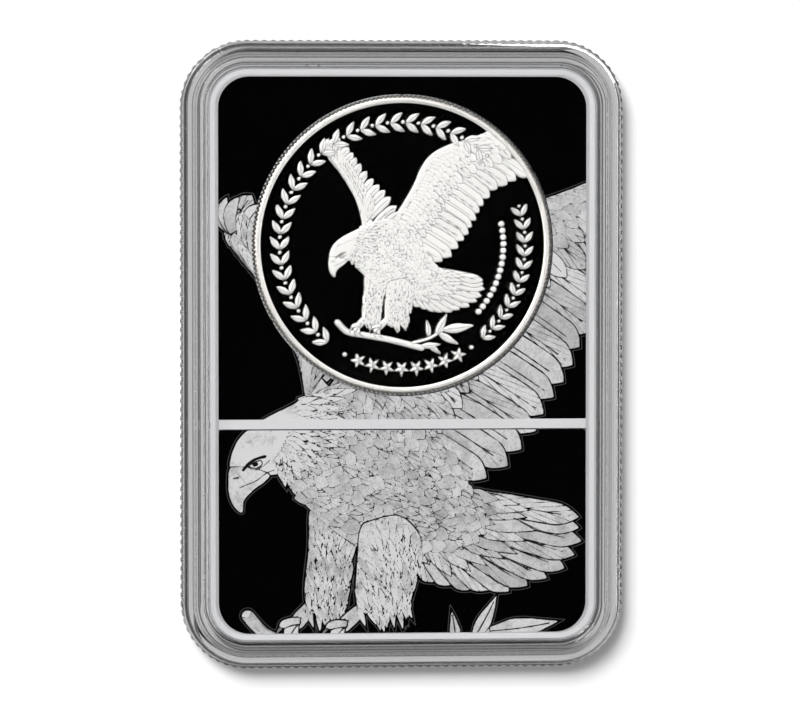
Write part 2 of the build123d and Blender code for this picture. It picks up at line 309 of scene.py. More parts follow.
class Drawing:
    """Picture painted back to front on a regular grid, as distances rather than as dots.

    inside is the distance within the outline, ink the distance from the nearest drawn line,
    tone the lightness and height the level of each feather."""

    def __init__(self, across, upward):
        self.across, self.upward = across, upward
        shape = (len(upward), len(across))
        self.inside = np.full(shape, -3.0)
        self.ink = np.full(shape, 3.0)
        self.tone = np.full(shape, 0.8)
        self.height = np.zeros(shape)
        self.chance = np.random.default_rng(7)

    def window(self, low, high):
        """Slices of the grid that a box covers, and the coordinates there."""
        columns = slice(*np.searchsorted(self.across, (low[0], high[0])))
        rows = slice(*np.searchsorted(self.upward, (low[1], high[1])))
        x, y = np.meshgrid(self.across[columns], self.upward[rows])
        return (rows, columns), x, y

    def paint(self, area, distance, lines, tone, height, weight):
        """Lays one shape over what is there. distance is negative inside the shape."""
        within = distance < 0
        edge = np.abs(distance) / weight
        self.inside[area] = np.maximum(self.inside[area], -distance)
        self.ink[area] = np.where(within, np.minimum(edge, lines), np.minimum(self.ink[area], edge))
        self.tone[area] = np.where(within, tone, self.tone[area])
        self.height[area] = np.where(within, height, self.height[area])

    def feather(self, base, heading, length, width, bend=0.0, tip=0.35, root=0.6, point=2.2,
                tone=0.8, level=0.5, hatch=0.0, shaft=0.0, weight=1.0, uneven=0.04):
        """One feather or leaf: width along a curved middle line, rounded or pointed at its end.

        bend is the turn from base to tip in degrees; hatch is the gap between barb lines."""
        end = base + ahead(heading, length)
        margin = width * 0.7 + 0.3
        area, x, y = self.window(np.minimum(base, end) - margin, np.maximum(base, end) + margin)
        if x.size == 0:
            return
        start = math.radians(heading - bend / 2)
        turn = math.radians(bend if abs(bend) > 0.5 else 0.5) / length
        normal = np.array((-math.sin(start), math.cos(start)))
        centre = base + normal / turn
        arm = base - centre
        dx, dy = x - centre[0], y - centre[1]
        side = 1 / turn - math.copysign(1, turn) * np.hypot(dx, dy)
        along = np.arctan2(arm[0] * dy - arm[1] * dx, arm[0] * dx + arm[1] * dy) / turn
        t = along / length
        rise = root + (1 - root) * np.sin(np.clip(t / 0.6, 0, 1) * math.pi / 2)
        end = np.clip((t - 1 + tip) / tip, 0, 2)
        half = width / 2 * rise * (1 - end ** point)
        steep = width / 2 * point * end ** (point - 1) / (tip * length)
        distance = (np.abs(side) - half) / np.sqrt(1 + steep ** 2)
        distance = np.maximum(distance, -along)
        lines = 3.0
        if shaft:
            lines = np.where(t < 0.86, np.abs(side) / shaft, lines)
        if hatch:
            phase = (np.abs(side) - 0.22 * along) / hatch
            barb = np.abs(phase - np.round(phase)) * hatch
            kept = np.sin(np.round(phase) * 12.9 + base[0] * 7.1 + base[1] * 3.3) > -0.1
            lines = np.minimum(lines, np.where(kept & (t > 0.12) & (t < 0.93), barb * 1.8, 3.0))
        shade = tone - 0.16 * np.clip(0.6 - t, 0, 1) + uneven * self.chance.standard_normal()
        raised = level + 0.25 * t - 0.35 * (side / (width / 2)) ** 2
        self.paint(area, distance, lines, shade, raised, weight)

    def feathers(self, roots, tips, count, width, jitter=0.0, **style):
        """Feathers from points spread along one curve to points spread along another."""
        bend, lead = style.pop("bend", 0.0), style.pop("lead", 0.0)
        for number in range(count):
            share = number / (count - 1)
            base, end = curve(roots, share), curve(tips, share + lead)
            end = end + jitter * self.chance.standard_normal(2)
            reach = end - base
            chord = math.hypot(*reach)
            half = math.radians(abs(bend) / 2) or 1e-6
            self.feather(base, math.degrees(math.atan2(reach[1], reach[0])), chord * half / math.sin(half),
                         width * (0.9 + 0.2 * self.chance.random()), bend=bend, **style)

    def blob(self, points, tone=0.8, level=0.4, weight=1.0):
        """Smooth closed shape through a few points."""
        ring = [points[-1], *points, points[0]]
        many = np.array([curve(ring, s) for s in np.linspace(1 / (len(ring) - 1), 1, 8 * len(points) + 1)])
        low, high = many.min(0) - 0.5, many.max(0) + 0.5
        area, x, y = self.window(low, high)
        nearest = distance_to(x, y, [*many, many[0]])
        crossed = np.zeros(x.shape, bool)
        for (ax, ay), (bx, by) in zip(many, np.roll(many, -1, 0)):
            if ay != by:
                crossed ^= ((ay > y) != (by > y)) & (x < ax + (y - ay) * (bx - ax) / (by - ay))
        self.paint(area, np.where(crossed, -nearest, nearest), 3.0, tone, level, weight)

    def plumage(self, points, step, heading, length, width, shift=0.12, **style):
        """Scale-like feathers set out in staggered rows inside a closed shape, tail end first.

        heading gives the direction in degrees at a point."""
        ring = np.array([curve([*points, points[0]], s) for s in np.linspace(0, 1, 60)])
        low, high = ring.min(0), ring.max(0)
        xs, ys = np.meshgrid(np.arange(low[0], high[0], step), np.arange(low[1], high[1], step * 0.8))
        xs = xs + (np.arange(len(ys)) % 2)[:, None] * step / 2
        places = np.stack((xs.ravel(), ys.ravel()), -1)
        places = places + shift * step * self.chance.standard_normal(places.shape)
        a, b = ring, np.roll(ring, -1, 0)
        px, py = places[:, :1], places[:, 1:]
        crossed = ((a[:, 1] > py) != (b[:, 1] > py)) & (
            px < a[:, 0] + (py - a[:, 1]) * (b[:, 0] - a[:, 0]) / (b[:, 1] - a[:, 1] + 1e-9))
        places = places[crossed.sum(1) % 2 == 1]
        middle = math.radians(heading(*ring.mean(0)))
        order = np.argsort(-(places @ (math.cos(middle), math.sin(middle))))
        for place in places[order]:
            turn = heading(*place) + 7 * self.chance.standard_normal()
            size = 0.85 + 0.3 * self.chance.random()
            self.feather(place, turn, length * size, width * size, **style)

    def stroke(self, points, width, tone=None, level=0.6, weight=1.0):
        """Line drawn along a smooth curve: inked when tone is left out, otherwise a round rod."""
        many = np.array([curve(points, s) for s in np.linspace(0, 1, 6 * len(points))])
        area, x, y = self.window(many.min(0) - width - 0.4, many.max(0) + width + 0.4)
        nearest = distance_to(x, y, many)
        if tone is None:
            self.ink[area] = np.minimum(self.ink[area], np.clip(nearest - width / 2 + 0.05, 0, 3))
        else:
            self.paint(area, nearest - width / 2, 3.0, tone, level, weight)


def blend(a, b, share):
    """Curve between two curves given by equally many points."""
    return [tuple(p + (q - p) * share for p, q in zip(u, v)) for u, v in zip(a, b)]


# Control points of the bird's curves, in mm from the coin's middle
ARM = [(-1.6, 2.6), (-0.2, 4.8), (0.9, 6.6), (1.9, 8.4), (2.7, 10.4), (4.0, 12.2), (6.4, 13.5), (9.5, 14.4),
       (12.2, 15.5), (15.5, 17.4)]
WING_ROOTS = [(-1.6, 0.6), (0.2, 2.2), (1.4, 4.0), (2.5, 5.9), (3.6, 7.7), (5.0, 9.4), (7.2, 10.8), (9.6, 11.8),
              (12.2, 12.9), (15.5, 14.6)]
WING_TIPS = [(4.2, -2.5), (6.5, -1.8), (8.0, 0.0), (9.0, 1.8), (10.0, 3.5), (11.0, 5.3), (12.5, 7.2), (14.8, 8.3),
             (17.4, 9.4), (19.6, 11.4)]
FAR_ROOTS = [(-3.4, 2.2), (-4.6, 4.0), (-5.7, 6.0), (-7.1, 8.3), (-8.6, 10.6), (-9.8, 12.4)]
FAR_TIPS = [(-0.2, 4.4), (-1.9, 6.9), (-3.8, 8.8), (-5.8, 11.2), (-7.0, 12.9), (-8.5, 14.5)]
FAR_EDGE = [(-5.3, 2.6), (-5.5, 5.0), (-6.6, 7.3), (-8.2, 9.6), (-10.0, 11.9), (-10.1, 13.4)]
TAIL_ROOTS = [(3.6, -3.2), (3.4, -4.2), (2.8, -4.9), (2.2, -5.4), (1.6, -5.7), (0.8, -5.9)]
TAIL_TIPS = [(10.9, -4.8), (11.0, -6.3), (9.4, -8.2), (6.4, -9.0), (3.8, -8.8), (1.5, -8.1)]
BODY = [(-5.9, 1.2), (-4.6, 2.9), (-1.8, 3.6), (0.4, 2.4), (2.4, 0.2), (4.2, -2.4), (5.0, -4.6), (3.4, -6.3),
        (1.0, -6.6), (-1.6, -6.6), (-3.4, -5.6), (-5.1, -4.1), (-6.4, -2.6), (-6.6, -0.6)]
LEG_FAR = [(-4.9, -3.9), (-5.2, -6.4), (-5.4, -9.6), (-4.2, -10.2), (-3.1, -9.6), (-2.6, -7.2), (-2.4, -5.4)]
LEG_NEAR = [(-1.9, -4.9), (-2.3, -7.0), (-2.3, -9.9), (-0.9, -10.4), (0.5, -10.0), (1.1, -7.9), (1.5, -5.9),
            (0.2, -4.5)]
HEAD = [(-4.9, 2.5), (-6.7, 1.85), (-8.1, 1.1), (-9.2, 0.25), (-9.75, -0.8), (-9.8, -1.7), (-8.9, -2.1),
        (-7.6, -2.1), (-6.5, -1.9), (-5.2, -1.2), (-4.4, 0.6)]
BEAK = [(-9.75, -1.55), (-9.95, -2.5), (-9.85, -3.4), (-9.5, -4.05), (-9.1, -4.25), (-9.0, -3.6), (-8.5, -3.0),
        (-7.75, -2.45), (-7.5, -2.0), (-8.6, -1.6)]


def raptor(art):
    """Bird of prey coming down on a branch with both wings raised."""
    art.stroke([(-8.8, -10.4), (-7.4, -11.7), (-4.8, -12.2), (-1.6, -12.8), (2.6, -13.9)], 0.75, tone=0.8)
    for line in ([(-8.75, -10.75), (-7.9, -11.45), (-6.9, -11.95), (-5.6, -12.2)],
                 [(-8.4, -10.5), (-7.7, -11.2), (-7.0, -11.6)], [(-4.4, -12.1), (-3.0, -12.4), (-1.8, -12.65)],
                 [(-1.0, -13.1), (0.4, -13.4), (1.8, -13.75)]):
        art.stroke(line, 0.05)
    art.blob([(-9.15, -10.45), (-8.95, -10.1), (-8.6, -10.15), (-8.75, -10.5)], tone=0.94, weight=0.5)
    art.stroke([(1.4, -13.2), (3.6, -12.6), (5.6, -11.4)], 0.35, tone=0.8)
    for place, heading, size in (((5.6, -11.4), 8, 4.2), ((4.6, -11.9), 62, 3.0), ((3.6, -12.3), 98, 2.2),
                                 ((5.0, -11.9), -30, 3.0), ((3.4, -13.2), -40, 2.4), ((2.6, -13.6), 5, 2.6)):
        plain_leaf(art, np.array(place), heading, size)
    # Far wing
    art.blob(FAR_EDGE + FAR_ROOTS[::-1], level=0.1)
    art.feathers(FAR_ROOTS[::-1], FAR_TIPS[::-1], 13, 1.15, bend=-14, tip=0.3, hatch=0.3, shaft=0.8, level=0.15)
    art.feathers(FAR_EDGE[::-1], blend(FAR_ROOTS, FAR_TIPS, 0.55)[::-1], 22, 0.75, bend=16, lead=-0.3, level=0.25,
                 hatch=0.25, weight=0.5, root=0.3)
    art.feathers(FAR_EDGE[::-1], FAR_ROOTS[::-1], 26, 0.6, bend=10, lead=-0.35, level=0.3, weight=0.4, root=0.3)
    for heading, bend in ((118, -60), (100, -75), (80, -80)):
        art.feather(np.array((-9.6, 12.3)), heading, 2.3, 0.75, bend=bend, level=0.3, weight=0.7, tip=0.5)
    # Tail
    art.feathers(TAIL_ROOTS[::-1], TAIL_TIPS[::-1], 13, 1.35, jitter=0.08, bend=6, hatch=0.3,
                 shaft=0.8, level=0.2, tip=0.22)
    art.feathers(TAIL_ROOTS[::-1], blend(TAIL_ROOTS, TAIL_TIPS, 0.62)[::-1], 12, 1.1, jitter=0.15, bend=6,
                 hatch=0.32, level=0.35, tip=0.45, point=1.3, weight=0.8)
    art.feathers(TAIL_ROOTS[::-1], blend(TAIL_ROOTS, TAIL_TIPS, 0.34)[::-1], 10, 1.0, jitter=0.1, level=0.45,
                 tip=0.5, point=1.5, weight=0.6, tone=0.72)
    # Far leg
    foot(art, np.array((-4.8, -9.6)), 228)
    art.blob(LEG_FAR, tone=0.8, level=0.3)
    art.plumage(LEG_FAR, 0.46, lambda x, y: -86 - 8 * (x + 4), 1.35, 0.42, tip=0.7, point=1.1, level=0.35,
                weight=0.36, tone=0.85, root=0.4)
    # Near wing, from its outer end towards the shoulder
    art.feathers(WING_ROOTS[::-1], WING_TIPS[::-1], 17, 1.75, jitter=0.1, bend=-7, hatch=0.3, shaft=0.9, level=0.3,
                 tip=0.2)
    art.feathers(blend(ARM, WING_ROOTS, 0.75)[::-1], blend(WING_ROOTS, WING_TIPS, 0.42)[::-1], 21, 1.25, jitter=0.08,
                 bend=-9, hatch=0.3, shaft=0.7, level=0.45, weight=0.8)
    art.feathers(blend(ARM, WING_ROOTS, 0.45)[::-1], blend(ARM, WING_TIPS, 0.42)[::-1], 26, 0.95, jitter=0.1,
                 bend=-10, hatch=0.4, level=0.5, weight=0.6)
    art.feathers(blend(ARM, WING_ROOTS, 0.2)[::-1], blend(ARM, WING_TIPS, 0.3)[::-1], 32, 0.8, jitter=0.1,
                 bend=-8, level=0.6, weight=0.5)
    art.feathers(blend(ARM, WING_ROOTS, 0.1)[::-1], blend(ARM, WING_TIPS, 0.19)[::-1], 40, 0.6, jitter=0.08, lead=-0.03,
                 level=0.65, weight=0.4)
    art.stroke(blend(ARM, WING_ROOTS, 0.1), 0.75, tone=0.84, level=0.7, weight=0.8)
    art.feathers(ARM[::-1], blend(ARM, WING_ROOTS, 0.35)[::-1], 46, 0.5, jitter=0.1, lead=-0.06, level=0.72,
                 weight=0.35, root=0.2)
    # Body
    art.blob(BODY, level=0.5, weight=0.6)
    art.plumage(BODY, 0.72, lambda x, y: -38 - 5 * (y + 1) - 2 * x, 1.2, 0.86, level=0.6, weight=0.42, tip=0.5,
                point=2.0, uneven=0.02, hatch=0.24)
    # Near leg
    foot(art, np.array((-1.9, -9.9)), 222)
    art.blob(LEG_NEAR, tone=0.85, level=0.65)
    art.plumage(LEG_NEAR, 0.48, lambda x, y: -80 - 9 * x, 1.4, 0.46, tip=0.7, point=1.1, level=0.75, weight=0.38,
                root=0.4, tone=0.88)
    # Neck and head
    art.blob(HEAD, tone=0.93, level=0.75)
    crown = [(-4.6, 2.6), (-4.9, 1.6), (-5.2, 0.6), (-5.6, -0.3), (-6.2, -1.0), (-6.9, -1.5)]
    ruff = [(-2.2, 2.9), (-2.7, 1.4), (-3.2, 0.1), (-3.8, -1.1), (-5.0, -2.1), (-6.5, -2.6)]
    for share, start, tone in ((1.0, 0.3, 0.86), (0.72, 0.05, 0.9), (0.4, -0.25, 0.93), (0.1, -0.5, 0.94)):
        art.feathers(blend(crown, ruff, start), blend(crown, ruff, share), 15, 0.55, jitter=0.12, tip=0.75, point=1.1,
                     root=0.15, level=0.8, tone=tone, weight=0.45)
    art.blob(BEAK, tone=0.86, level=0.95, weight=0.8)
    art.stroke([(-9.25, -2.8), (-8.8, -2.6), (-8.3, -2.4), (-7.7, -1.95), (-7.2, -1.75)], 0.07)
    art.stroke([(-9.9, -2.15), (-9.5, -1.95), (-9.15, -2.2), (-8.95, -2.5)], 0.05)
    art.stroke([(-9.6, -2.25), (-9.35, -2.2)], 0.12)
    for number in range(26):
        along = number / 25
        place = curve([(-9.0, -0.2), (-7.6, 0.5), (-6.2, 0.9), (-6.4, -0.4), (-7.1, -1.3)], along)
        lean = 25 - 60 * along + 8 * art.chance.standard_normal()
        art.stroke([tuple(place), tuple(place + ahead(lean, 0.35 + 0.3 * art.chance.random()))], 0.03)
    art.stroke([(-9.05, -1.75), (-8.75, -1.4), (-8.3, -1.1), (-7.75, -0.95)], 0.2)
    art.blob([(-8.7, -1.55), (-8.4, -1.3), (-8.0, -1.2), (-7.95, -1.45), (-8.3, -1.65)], tone=0.95, level=0.7)
    art.stroke([(-8.38, -1.42), (-8.3, -1.4)], 0.28)
    art.stroke([(-8.75, -1.6), (-8.3, -1.75), (-7.85, -1.5), (-7.5, -1.2)], 0.08)


def plain_leaf(art, base, heading, size):
    """Pointed laurel leaf with a middle vein."""
    art.feather(base, heading, size, size * 0.36, bend=10, tip=0.75, point=1.3, root=0.3, shaft=0.9, tone=0.88,
                weight=0.7)


def foot(art, ankle, heading):
    """Scaly shank and three curled toes, each with a hooked claw."""
    heel = ankle + ahead(heading, 1.6)
    art.feather(ankle, heading, 2.2, 0.9, tip=0.3, root=0.8, tone=0.84, level=0.3)
    for step in (0.5, 0.85, 1.2):
        across = ankle + ahead(heading, step)
        art.stroke([tuple(across + ahead(heading + 75, 0.3)), tuple(across - ahead(heading + 75, 0.3))], 0.04)
    for spread in (40, 5, -32):
        toe = heading + spread
        knuckle = heel + ahead(toe, 0.75)
        art.feather(knuckle, toe + 40, 1.0, 0.3, bend=70, tip=0.9, point=1.2, tone=0.5, level=0.4)
        art.feather(heel - ahead(toe, 0.2), toe, 1.35, 0.5, bend=45, tip=0.3, root=0.8, tone=0.88, level=0.55)


# ---------------------------------------------------------------- holder

# Places in one flute's pitch where the edge gets a point, as shares of the pitch
FLUTE_MARKS = (0.0, 0.14, 0.27, 0.5, 0.73, 0.86)


def shell_sweep(profile, flute_share):
    """Grid of points from a profile of (inset, height) carried round the edge.

    Point = edge(s) + inward normal(s) * (inset + share * depth * (1 - (2 u / width)^2)), where u is the
    distance from the middle of a flute, and share says how much of the depth a profile point takes."""
    size = bpy.context.scene.slab_sizes
    low, high = box_of("front_shell")
    width, height = high[0] - low[0], high[1] - low[1]
    radius = size.corner / MM
    around = 2 * (width + height) - 8 * radius + 2 * math.pi * radius
    count = round(around / (size.flute_pitch / MM))
    step = around / count
    marks = np.array(FLUTE_MARKS)
    along = ((np.arange(count)[:, None] + marks) * step).ravel()
    across = np.tile((marks - 0.5) * step, count)
    groove = size.flute_depth / MM * np.clip(1 - (across / (size.flute_width / 2 / MM)) ** 2, 0, 1)
    points, inward = edge_samples(width, height, radius, along)
    inset = profile[:, 0][:, None] + flute_share[:, None] * groove
    flat = points + inward * inset[..., None]
    level = np.broadcast_to(profile[:, 1][:, None], inset.shape)
    return np.concatenate((flat, level[..., None]), -1)


def block_piece(name, low, high, material):
    """Plain box between two corners."""
    grid = np.array([(x, y, t) for x in (low[0], high[0]) for y in (low[1], high[1])
                     for t in (low[2], high[2])])
    faces = np.array([(0, 1, 3, 2), (4, 6, 7, 5), (0, 4, 5, 1), (2, 3, 7, 6), (0, 2, 6, 4), (1, 5, 7, 3)])
    new_piece(name, grid, [faces], material, smooth=False)


def rounded_frame(name, outlines, material):
    """Closed ring through rounded rectangles (left, right, foot, top, corner radius, height).

    Each corner is its centre + radius * (cos a, sin a), with a over a quarter turn."""
    turn = np.radians(np.linspace(0, 90, 13))
    rows = []
    for left, right, foot, top, radius, height in outlines:
        corners = []
        for quarter, (x, y) in enumerate(((right, top), (left, top), (left, foot), (right, foot))):
            centre_x = x - math.copysign(radius, x - (left + right) / 2)
            centre_y = y - math.copysign(radius, y - (foot + top) / 2)
            angle = turn + quarter * math.pi / 2
            corners.append(np.stack((centre_x + radius * np.cos(angle), centre_y + radius * np.sin(angle),
                                     np.full(turn.shape, height)), -1))
        rows.append(np.concatenate(corners))
    points = np.stack(rows)
    faces = quads(*points.shape[:2], wrap_rows=True, wrap_columns=True)[:, ::-1]
    new_piece(name, points, [faces], material, smooth=False)


def sweep_shell(name, corners, radius, material, facing):
    """Closed shell: profile rings joined in turn, both end rings closed by a flat face.

    Only the profile's points on the outer edge, within 0.2 mm of inset, are fluted."""
    profile = rounded_profile(corners, [radius] * (len(corners) - 2))
    share = np.where(np.abs(profile[:, 0]) < 0.2, 1.0, 0.0)
    points = shell_sweep(profile * (1, facing), share)
    rows, columns = points.shape[:2]
    faces = quads(rows, columns, wrap_columns=True)
    first = np.arange(columns)[None, :]
    last = (rows - 1) * columns + np.arange(columns)[None, ::-1]
    if facing < 0:
        faces, first, last = faces[:, ::-1], first[:, ::-1], last[:, ::-1]
    return new_piece(name, points, [faces, first[:, ::-1], last[:, ::-1]], material)


class SLAB_OT_holder(bpy.types.Operator):
    """Makes the two clear shells, the matt margins and the divider"""
    bl_idname = "slab.holder"
    bl_label = "Holder"

    def execute(self, context):
        size = context.scene.slab_sizes
        edge = size.edge_round / MM
        gap = size.parting_gap / MM
        flange, cavity = size.flange_height / MM, size.cavity_inset / MM
        face, back = size.window_face / MM, size.window_back / MM
        # General-purpose polystyrene, injection moulded in a polished tool: clear, hard and glassy
        material = clear_plastic("clear_polystyrene", chosen("clear"), 1.59, 0.01)
        # Both halves, as (inset, height): cavity, weld channel, flange, then each half's own rim
        inner = [(8.0, back), (5.0, back), (cavity, back), (cavity, gap), (3.2, gap), (3.2, 2.35), (1.6, 2.35),
                 (1.6, gap), (0.0, gap), (0.0, flange), (0.42, flange)]
        front_rim = [(0.9, 3.52), (1.0, 3.6), (2.0, 3.6), (2.02, 3.3), (2.33, 3.3), (2.45, 4.0), (3.05, 4.0),
                     (3.15, 3.3), (3.65, 3.3), (3.75, face)]
        rear_rim = [(0.92, 3.92), (1.0, 4.0), (2.15, 4.0), (2.25, 3.5), (3.75, 3.5), (3.85, face)]
        window = [(4.1, face), (8.0, face)]
        front_piece = sweep_shell("front_shell_clear", inner + front_rim + window, edge, material, 1)
        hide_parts("front_shell")
        rear_piece = sweep_shell("rear_shell_clear", inner + rear_rim + window, edge, material, -1)
        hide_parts("rear_shell")
        # The same polystyrene from an etched tool face: pale and even, because it scatters the light
        matt = plain("matt_polystyrene", chosen("matt"), 0.5, 1.59)
        bright = plain("matt_polystyrene_bar", chosen("divider"), 0.5, 1.59)
        low, high = box_of("front_shell")
        film_low, film_high = box_of("label_art_front")[0], box_of("core_art_front")[1]
        reach = film_high[0] + 0.05
        middle, half = size.divider_height / MM, size.divider_thickness / 2 / MM
        inset, lowered = 3.95, 0.15
        for facing, side in ((1, "front"), (-1, "rear")):
            outer = (low[0] + inset, high[0] - inset, low[1] + inset, high[1] - inset, size.corner / MM - inset)
            opening = (film_low[0], film_high[0], film_low[1], film_high[1] - lowered, 4.2)
            near, far = facing * (back - 0.01), facing * (back - 0.05)
            rings = [(*outer, far), (*opening, far), (*opening, near), (*outer, near)]
            rounded_frame("margin_" + side, rings[::-1] if facing < 0 else rings, matt)
            # The bar fills the cavity's depth, and its lip covers the films' edges
            for part, lift, spread, depths in (("", 0.0, 0.0, (gap, back - 0.07)),
                                               ("_lip", 0.15, 0.17, (back - 0.066, back - 0.052))):
                start, end = sorted(facing * depth for depth in depths)
                block_piece("divider_" + side + part, (-reach, middle + lift - half - spread, start),
                            (reach, middle + lift + half + spread, end), bright)
        # Three short raised dashes of the tool maker on the front rim
        for number, place in enumerate((-13.0, -11.4, 21.4)):
            block_piece("mould_mark_%d" % number, (place - 0.17, 81.43, 3.28), (place + 0.17, 81.77, 3.4), material)
        return {"FINISHED"}


# ---------------------------------------------------------------- inserts

def attribute_value(tree, name):
    """Socket with a number kept on the mesh."""
    return add_node(tree, "ShaderNodeAttribute", attribute_name=name).outputs["Fac"]


def smooth_step(tree, value, low, high, start=0.0, end=1.0):
    """Value mapped smoothly from low..high to start..end."""
    node = add_node(tree, "ShaderNodeMapRange", {
        0: value, 1: low, 2: high, 3: start, 4: end}, interpolation_type="SMOOTHSTEP")
    return node.outputs[0]


def arithmetic(tree, operation, first, second=0.0):
    """One math node's result."""
    return add_node(tree, "ShaderNodeMath", {0: first, 1: second}, operation=operation).outputs[0]


def noise(tree, scale_mm, detail=2.0, roughness=0.5):
    """Noise whose grain is scale_mm across."""
    place = add_node(tree, "ShaderNodeTexCoord").outputs["Object"]
    node = add_node(tree, "ShaderNodeTexNoise", {
        "Vector": place, "Scale": 1 / (scale_mm * MM), "Detail": detail, "Roughness": roughness})
    return node.outputs[0]


def printed_film(name):
    """Black film with a pale printed picture, both with the same gloss."""
    material, tree = new_material(name)
    inside, ink = attribute_value(tree, "inside"), attribute_value(tree, "ink")
    tone = attribute_value(tree, "tone")
    # Offset print on black polyester film: flat pale inks, fine dark keylines, broken here and there
    worn = arithmetic(tree, "MULTIPLY", arithmetic(tree, "SUBTRACT", noise(tree, 1.1), 0.5), 0.16)
    line = smooth_step(tree, arithmetic(tree, "ADD", ink, worn), 0.03, 0.13)
    blot = smooth_step(tree, noise(tree, 2.6, 5.0, 0.65), 0.3, 0.55, 0.98, 1.16)
    grain = smooth_step(tree, noise(tree, 0.3, 3.0, 0.6), 0.35, 0.55, 0.93, 1.03)
    pale = arithmetic(tree, "MULTIPLY", arithmetic(tree, "MULTIPLY", tone, blot), grain)
    pale = arithmetic(tree, "MULTIPLY", pale, arithmetic(tree, "ADD", arithmetic(tree, "MULTIPLY", line, 0.88), 0.12))
    body = smooth_step(tree, inside, -0.03, 0.03)
    off = arithmetic(tree, "ABSOLUTE", arithmetic(tree, "ADD", inside, 0.24))
    halo = smooth_step(tree, off, 0.02, 0.09, 0.32, 0.0)
    grey = arithmetic(tree, "MAXIMUM", arithmetic(tree, "MULTIPLY", pale, body), halo)
    level = arithmetic(tree, "POWER", grey, 2.2)
    coat(tree, mixed(tree, level, chosen("film"), chosen("ink")), 0.07)
    return material


def set_numbers(piece, **values):
    """Keeps one number per vertex under each name."""
    for name, numbers in values.items():
        store = piece.data.attributes.new(name, "FLOAT", "POINT")
        store.data.foreach_set("value", np.asarray(numbers, np.float32).ravel())


def kept_grid(kept):
    """Quads of the grid cells whose four corners are kept, and the numbers of the corners used."""
    rows, columns = kept.shape
    cell = kept[:-1, :-1] & kept[1:, :-1] & kept[:-1, 1:] & kept[1:, 1:]
    faces = quads(rows, columns)[cell.ravel()]
    used = np.unique(faces)
    number = np.zeros(rows * columns, int)
    number[used] = np.arange(len(used))
    return number[faces], used


# The print shows the coin's bird this many times as large, with its origin at this place in mm
PRINT_SCALE, PRINT_PLACE = 2.283, (-0.92, 30.99)


def print_on(node, step, corners, hole, material):
    """Printed face just in front of one film, trimmed to its rounded outline and its round hole.

    d is the distance past the rounded outline, |max(q, 0)| + min(max(q), 0) - radius, and a grid point
    with d > 0 moves back by d along the outward direction. Points in the hole move out to its edge."""
    low, high = box_of(node)
    across = np.arange(low[0], high[0] + step, step)
    upward = np.arange(low[1], high[1] + step, step)
    art = Drawing((across - PRINT_PLACE[0]) / PRINT_SCALE, (upward - PRINT_PLACE[1]) / PRINT_SCALE)
    raptor(art)
    x, y = np.meshgrid(across, upward)
    middle = (low + high) / 2
    radius = np.where(y > middle[1], corners[0], corners[1])
    half = (high - low) / 2 - 0.01
    qx, qy = np.abs(x - middle[0]) - half[0] + radius, np.abs(y - middle[1]) - half[1] + radius
    outside = np.hypot(np.maximum(qx, 0), np.maximum(qy, 0)) + np.minimum(np.maximum(qx, qy), 0) - radius
    kept = outside < step
    pull = np.maximum(outside, 0) / (np.hypot(np.maximum(qx, 0), np.maximum(qy, 0)) + 1e-9)
    x = x - pull * np.maximum(qx, 0) * np.sign(x - middle[0])
    y = y - pull * np.maximum(qy, 0) * np.sign(y - middle[1])
    if hole:
        centre, bore = hole
        away = np.hypot(x - centre[0], y - centre[1]) + 1e-9
        kept &= away > bore - step
        push = np.maximum(bore - away, 0) / away
        x, y = x + (x - centre[0]) * push, y + (y - centre[1]) * push
    faces, used = kept_grid(kept)
    ink_gap = 0.012
    points = np.stack((x, y, np.full(x.shape, high[2] + ink_gap)), -1).reshape(-1, 3)[used]
    piece = new_piece(node + "_print", points, [faces], material, smooth=False)
    set_numbers(piece, inside=art.inside.ravel()[used] * PRINT_SCALE, ink=art.ink.ravel()[used] * PRINT_SCALE,
                tone=art.tone.ravel()[used])


def recolour(node, material):
    """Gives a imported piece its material."""
    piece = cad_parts[node]
    piece.data.materials.clear()
    piece.data.materials.append(material)


def place_from(tree, node):
    """Object place in millimetres from the middle of one piece: across and upward sockets."""
    low, high = box_of(node)
    place = add_node(tree, "ShaderNodeSeparateXYZ", {0: add_node(tree, "ShaderNodeTexCoord").outputs["Object"]})
    return [arithmetic(tree, "SUBTRACT", arithmetic(tree, "DIVIDE", place.outputs[axis], MM), (low[n] + high[n]) / 2)
            for n, axis in enumerate("XZ")]


def away_from(tree, across, upward):
    """Distance from the middle."""
    square = arithmetic(tree, "ADD", arithmetic(tree, "POWER", arithmetic(tree, "ABSOLUTE", across), 2.0),
                        arithmetic(tree, "POWER", arithmetic(tree, "ABSOLUTE", upward), 2.0))
    return arithmetic(tree, "SQRT", square)


def ringed_film(name, node):
    """Black film with two fine pale rings round the coin's opening."""
    material, tree = new_material(name)
    away = away_from(tree, *place_from(tree, node))
    lines = [smooth_step(tree, arithmetic(tree, "ABSOLUTE", arithmetic(tree, "SUBTRACT", away, radius)),
                         width, width + 0.06, 1.0, 0.0) for radius, width in ((21.6, 0.16), (22.2, 0.05))]
    # Offset print on black polyester film, glossy
    coat(tree, mixed(tree, arithmetic(tree, "MAXIMUM", *lines), chosen("film"), linear(0xC8CACC)), 0.15)
    return material


